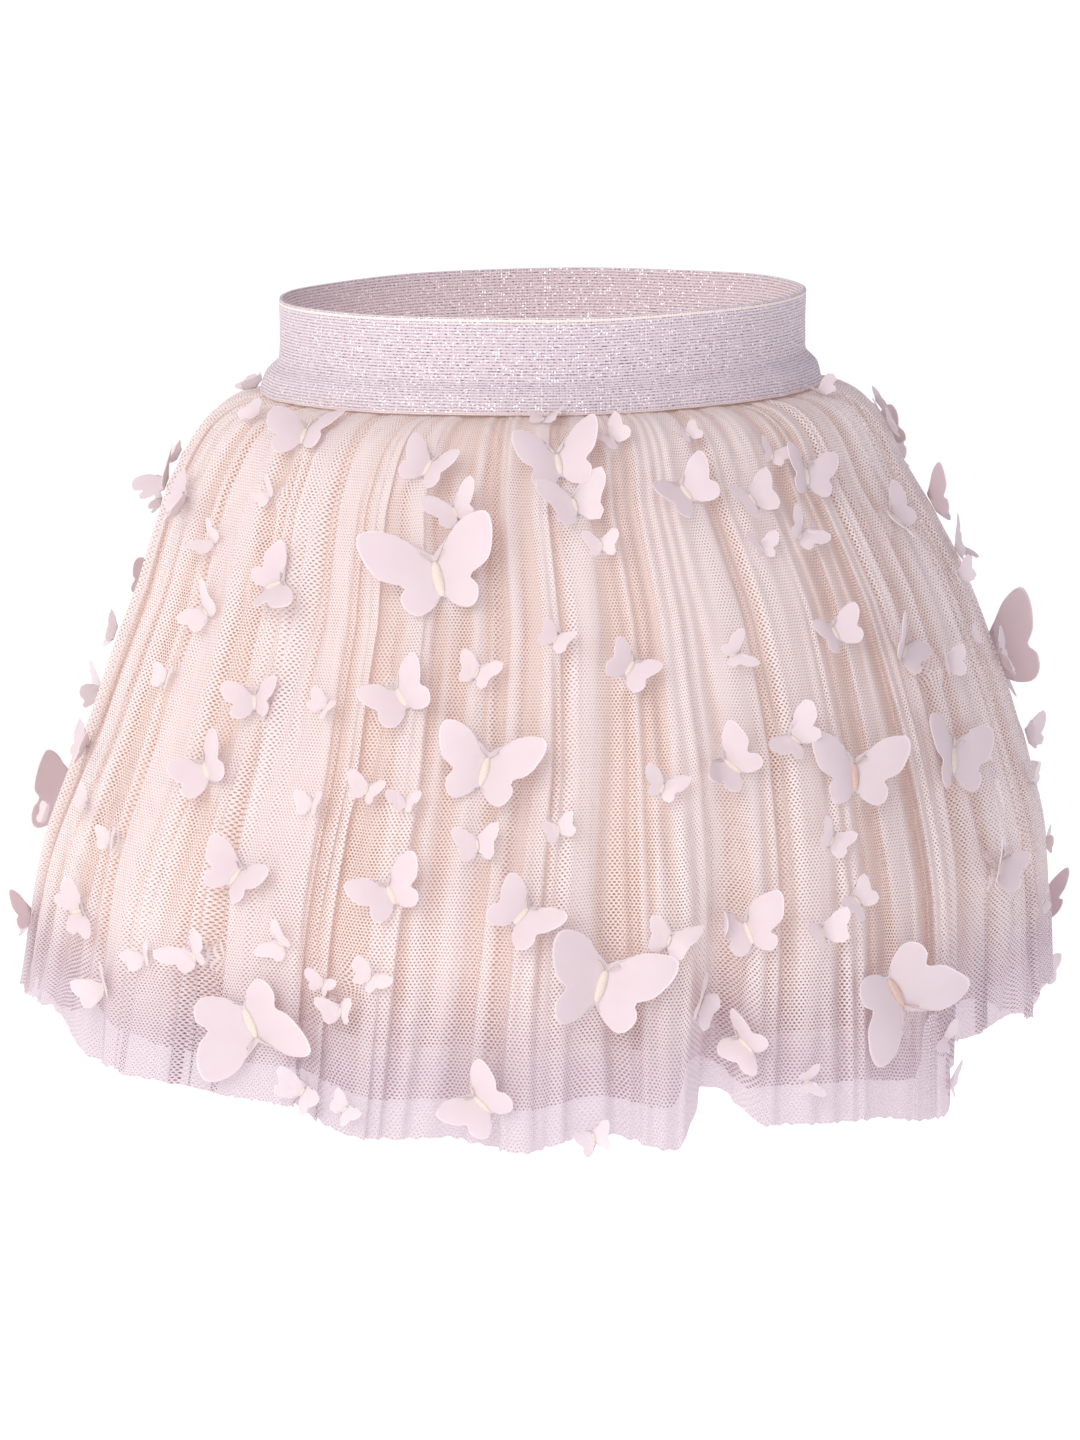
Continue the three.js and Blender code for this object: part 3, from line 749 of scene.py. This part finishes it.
def front_places():
    """The smaller butterflies of the front: each on the nearest place of the outer bell to its
    pixel, out of a fine grid over the front half."""
    angle = np.radians(np.linspace(-95, 95, 381))[None, :]
    down = np.linspace(12, OUTER["down"][-1], 270)[:, None]
    pixels = in_photo(hang(bell(OUTER, angle, down)))
    rows = []
    for count, (across, below, span, turn) in enumerate(SMALL_AT_PIXELS):
        near = np.sum((pixels - (across, below)) ** 2, axis=-1).argmin()
        line, column = np.unravel_index(near, pixels.shape[:2])
        z = outline_at(OUTER, down[line, 0])[0]
        rows.append((np.degrees(angle[0, column]), z, span, turn,
                     38 + 14 * np.sin(2.1 * count), 38 + 14 * np.cos(3.3 * count)))
    return rows


def scattered_places(count, first_angle, sweep, top, bottom, seed):
    """Small butterflies scattered over a stretch of a bell: each a golden-ratio step further round
    than the one before it, and evenly down, with a seeded shift."""
    random = np.random.default_rng(seed)
    number = np.arange(count)
    at = first_angle + sweep * (number * 0.618034 % 1)
    z = top + (bottom - top) * (number + random.uniform(0, 1, count)) / count
    return np.stack([at, z, random.uniform(12, 19, count), random.uniform(-70, 70, count),
                     random.uniform(24, 52, count), random.uniform(24, 52, count)], axis=-1)


def spots(layer, angle, z, across, along):
    """Places on a layer's bell beside a centre, across and along it in millimetres, and how far
    they reach past the shoulder or the hem."""
    heights = layer["outline"][:, 0]
    centre = np.interp(-z, -heights, layer["down"])
    step = 0.01
    arc = bell(layer, angle + step, centre) - bell(layer, angle - step, centre)
    per_radian = np.linalg.norm(arc) / (2 * step)
    shoulder = np.interp(17, -heights, layer["down"])
    down = np.clip(centre - along, shoulder, layer["down"][-1])
    return angle + across / per_radian, down, along + down - centre


def over_bell(layer, angle, down, overshoot, raised):
    """Points raised off a layer's bell."""
    outward, _ = bell_directions(layer, angle, down)
    points = bell(layer, angle, down) + outward * raised[..., None]
    points[..., 2] += overshoot
    return hang(points)


def wing_rim(stations, character):
    """One side's outline at even steps along a smooth curve through its places: on each stretch
    the slope at a place is the chord of its two neighbours. Fore and hind wings differ in size
    from one butterfly to the next."""
    size = np.where(WING_OUTLINE[:, 1:] > 0, 1 + 0.1 * np.sin(character),
                    1 + 0.14 * np.sin(2.3 * character))
    places = WING_OUTLINE * size / size.max()
    ends = [2 * places[0] - places[1], 2 * places[-1] - places[-2]]
    knots = np.vstack([ends[:1], places, ends[1:]])
    place = np.linspace(0, len(places) - 1 - 1e-9, 400)
    first = place.astype(int)
    share = (place - first)[:, None]
    a, b, c, d = (knots[first + step] for step in range(4))
    curve = b + share / 2 * (c - a + share * (2 * a - 5 * b + 4 * c - d
                                              + share * (3 * (b - c) + d - a)))
    length = np.concatenate([[0], np.cumsum(np.linalg.norm(np.diff(curve, axis=0), axis=-1))])
    even = np.linspace(0, length[-1], stations)
    return np.stack([np.interp(even, length, column) for column in curve.T], axis=-1)


def sewn_on(row, layer):
    """The function that carries places on a butterfly, in halves of its span across and towards the
    head and raised in millimetres, onto its place on a layer."""
    at, z, span, turn = row[:4]
    half = span / 2
    cosine, sine = np.cos(np.radians(turn)), np.sin(np.radians(turn))

    def placed(away, along, raised):
        place = spots(layer, np.radians(at), z, half * (away * cosine - along * sine),
                      half * (away * sine + along * cosine))
        return over_bell(layer, *place, raised)

    return placed


def wings(row, layer, stations, rings, lie, seat):
    """Both wings as one grid: stations from head to tail by rings from the left rim over the body
    to the right rim, on straight lines from the body. A wing rises from the net with its angle's
    tangent, flattens towards its rim, and is cupped and twisted by small shares of its size."""
    at, _, span, turn, left, right = row
    half = span / 2
    character = at + 3 * turn
    rim = wing_rim(stations, character)
    reach = np.linspace(-1, 1, 2 * rings + 1)[None, :]
    spine = np.clip(rim[:, 1:] * 0.5, -SPINE_SHARE, SPINE_SHARE)
    away = rim[:, :1] * reach
    along = spine + (rim[:, 1:] - spine) * np.abs(reach)
    pressed = FRONT_PRESSED if span > 30 and abs(at) < 60 else SMALL_PRESSED
    steep = np.tan(np.radians(np.where(away < 0, left, right))) * lie * pressed
    cup = 0.10 * np.sin(character) * along * np.abs(away)
    curl = 0.16 * np.sin(1.7 * character + 2 * np.sign(away)) * away ** 2
    raised = seat + half * (np.abs(away) * steep * (1.15 - 0.3 * np.abs(away)) + cup + curl)
    raised = np.maximum(raised, seat * (1 - 0.3 * np.abs(away)))
    texture = half * np.stack([away + 2, along + 2], axis=-1)
    return grid(sewn_on(row, layer)(away, along, raised), texture, mark=np.abs(reach) + 0 * away)


def stitched_body(row, layer, stitches, seat):
    """The embroidered body: an ellipse of thread laid flat over the wings, its girth swelling and
    shrinking once for each pair of stitches."""
    half = row[2] / 2
    length = np.linspace(-1, 1, stitches * 4 + 1 if stitches else 5)[:, None]
    around = np.linspace(0, FULL_TURN, 10 if stitches else 6, endpoint=False)[None, :]
    ridge = 1 + 0.12 * np.abs(np.sin(np.pi * stitches * (length + 0.12 * np.cos(around)) / 2))
    girth = np.sqrt(np.clip(1 - length ** 2, 0, 1)) * ridge
    points = sewn_on(row, layer)(
        BODY_WIDTH_SHARE * girth * np.cos(around), BODY_LENGTH_SHARE * length + 0 * around,
        seat + 0.3 + 0.04 * half * girth * (np.sin(around) + 0.3))
    texture = half * np.stack(np.broadcast_arrays(
        np.linspace(0, 0.3, around.shape[1] + 1)[None, :], BODY_LENGTH_SHARE * length + 1), axis=-1)
    return grid(points, texture, join_columns=True, material=1)


def antenna(row, layer, side, seat):
    """One of the two loose threads at the head: a thin tube along an arc that leans outwards and
    rises off the wings, drawn to a point at both ends."""
    half = row[2] / 2
    length = np.linspace(0, 1, 9)[:, None]
    around = np.linspace(0, FULL_TURN, 6, endpoint=False)[None, :]
    radius = ANTENNA_RADIUS * np.sqrt(np.clip(1 - (2 * length - 1) ** 6, 0, 1))
    away = side * (0.02 + 0.15 * np.sin(1.9 * length)) + radius / half * np.cos(around)
    along = BODY_LENGTH_SHARE - 0.03 + 0.26 * length - 0.12 * length ** 3 + 0 * around
    raised = seat + 0.6 + 0.12 * half * np.sin(2.4 * length) + radius * np.sin(around)
    texture = half * np.stack(np.broadcast_arrays(
        np.linspace(0, 0.1, 7)[None, :], length), axis=-1)
    return grid(sewn_on(row, layer)(away, along, raised), texture, join_columns=True, material=1)


def large_butterfly(row, layer):
    """The surfaces of a butterfly in full detail: wings, stitched body and two loose threads."""
    stitches = 12 if row[2] > 30 else 8
    return [wings(row, layer, stations=41, rings=6, lie=1, seat=BODY_SEAT),
            stitched_body(row, layer, stitches, BODY_SEAT),
            *(antenna(row, layer, side, BODY_SEAT) for side in (-1, 1))]


def small_butterfly(row, layer, lie=1.0):
    """The surfaces of a butterfly in few faces: wings and a plain body. Lie is the share of its
    wings' rise that is left, where cloth presses on them."""
    return [wings(row, layer, stations=13, rings=2, lie=lie, seat=BODY_SEAT),
            stitched_body(row, layer, 0, BODY_SEAT)]


# Stage

def studio():
    """A pale floor as far below as a child's waist stands, a soft light from the front left, a faint
    one from behind it, light walls that are dimmer and bluer on the right, and the camera of the
    photograph."""
    scene = bpy.context.scene
    floor_material, tree = new_material("white_paper_floor")
    paper = add_node(tree, "ShaderNodeBsdfPrincipled", {
        "Base Color": colour("#ffffff"), "Roughness": 0.9, "Emission Color": colour("#ffffff"),
        "Emission Strength": 0.42})
    add_node(tree, "ShaderNodeOutputMaterial", {"Surface": paper.outputs[0]})
    bpy.ops.mesh.primitive_circle_add(vertices=96, radius=FLOOR_RADIUS, fill_type="NGON",
                                      location=(0, 0, -FLOOR_DROP))
    floor = bpy.context.object
    floor.name = "floor"
    floor.data.materials.append(floor_material)

    world = bpy.data.worlds.new("studio")
    world.use_nodes = True
    tree = world.node_tree
    sky = tree.nodes["Background"]
    direction = add_node(tree, "ShaderNodeTexCoord").outputs["Generated"]
    sideways = add_node(tree, "ShaderNodeSeparateXYZ", {0: direction}).outputs["X"]
    fall_off = add_node(tree, "ShaderNodeMapRange", {
        "Value": sideways, "From Min": -0.6, "From Max": 0.8, "To Min": 0.82, "To Max": 0.54})
    tree.links.new(fall_off.outputs[0], sky.inputs["Strength"])
    wall = add_node(tree, "ShaderNodeMapRange", {
        "Value": sideways, "From Min": -0.6, "From Max": 0.8})
    tint = add_node(tree, "ShaderNodeMix", {
        "Factor": wall.outputs[0], 6: colour("#fbfafc"), 7: colour("#e9e6fa")}, data_type="RGBA")
    tree.links.new(tint.outputs[2], sky.inputs["Color"])
    scene.world = world

    for name, place, size, power, tone in (
            ("key", (-1.2, -2.4, 1.5), 2.4, 50, "#fffcfa"),
            ("rim", (-2.4, 1.2, 1.4), 1.8, 5, "#ffffff")):
        lamp = bpy.data.lights.new(name, "AREA")
        lamp.shape = "SQUARE"
        lamp.size = size
        lamp.energy = power
        lamp.color = colour(tone)[:3]
        light = bpy.data.objects.new(name, lamp)
        light.location = place
        light.rotation_euler = aimed(place, (0, 0, -0.12))
        scene.collection.objects.link(light)

    camera = bpy.data.objects.new("camera", bpy.data.cameras.new("camera"))
    camera.data.lens = LENS
    camera.data.sensor_width = SENSOR
    camera.location = CAMERA_PLACE
    camera.rotation_euler = (np.pi / 2 - CAMERA_PITCH, 0, 0)
    scene.collection.objects.link(camera)
    scene.camera = camera
    scene.view_settings.view_transform = "Standard"
    scene.cycles.transparent_max_bounces = 64


def aimed(place, target):
    """The turns that point a light from a place at a target."""
    x, y, z = np.array(target) - place
    return (np.arctan2(np.hypot(x, y), -z), 0, np.arctan2(y, x) - np.pi / 2)


def thicken(made, thickness):
    """Gives a sheet its thickness behind the face that shows."""
    wall = made.modifiers.new("thickness", "SOLIDIFY")
    wall.thickness = thickness * METRES
    wall.offset = -1
    return made


def sewn_places(rows, layer):
    """The centres of butterflies on a bell, and how far their stitches hold the net up."""
    centres = [bell(layer, np.radians(row[0]),
                    np.interp(-row[1], -layer["outline"][:, 0], layer["down"])) for row in rows]
    return np.array(centres), np.array([0.16 * row[2] + 1 for row in rows])


def dress():
    """Every piece of the skirt."""
    organza = satin_organza()
    # The second colour of each thread is painted shade in the grooves between its strands.
    cream = rayon_thread("cream_rayon_thread", "#f4e8de", "#dccab9")
    pink = rayon_thread("pink_rayon_thread", "#e6ccc2", "#cfa899")
    large = butterfly_rows()
    small = [*front_places(), *scattered_places(SMALL_BEHIND, 85, 190, -30, -246, seed=5)]
    band = waistband()
    # Each net's three colours: its threads' own on a ridge, painted bounce light from the lining at
    # a fold's bottom, and painted shade at the hem.
    outer = cloth_piece(
        "outer_net", cloth_points(OUTER, 60, 1600, 2.2, sewn_places([*large, *small], OUTER)),
        nylon_net("white_nylon_net", ("#faf4f3", "#fbf0e9", "#e3d6da"), NET_PITCH, NET_HOLES),
        "outer_tulle")
    under = cloth_piece(
        "under_net", cloth_points(UNDER, 46, 1100, 2),
        nylon_net("inner_nylon_net", ("#fbf4f1", "#fbf0e9", "#e6d9dc"), NET_PITCH, NET_HOLES),
        "under_tulle")
    lining = thicken(cloth_piece(
        "peach_lining", cloth_points(LINING, 60, 480, 0.6), satin_lining(), "lining"),
        LINING_THICKNESS)
    for number, row in enumerate(large, start=1):
        made = piece(f"organza_butterfly_{number:02d}", large_butterfly(row, OUTER),
                     [organza, pink if number in PINK_BODIES else cream],
                     f"butterfly_{number:02d}")
        close_poles(made)
        thicken(made, WING_THICKNESS)
    surfaces = [part for row in small for part in small_butterfly(row, OUTER)]
    little = piece("small_butterflies", surfaces, [organza, cream])
    close_poles(little)
    inner_rows = scattered_places(SMALL_INSIDE, 0, 360, -45, -226, seed=9)
    surfaces = [part for row in inner_rows for part in small_butterfly(row, UNDER, lie=0.12)]
    inner = piece("inner_butterflies", surfaces, [organza, cream])
    close_poles(inner)


dress()
studio()
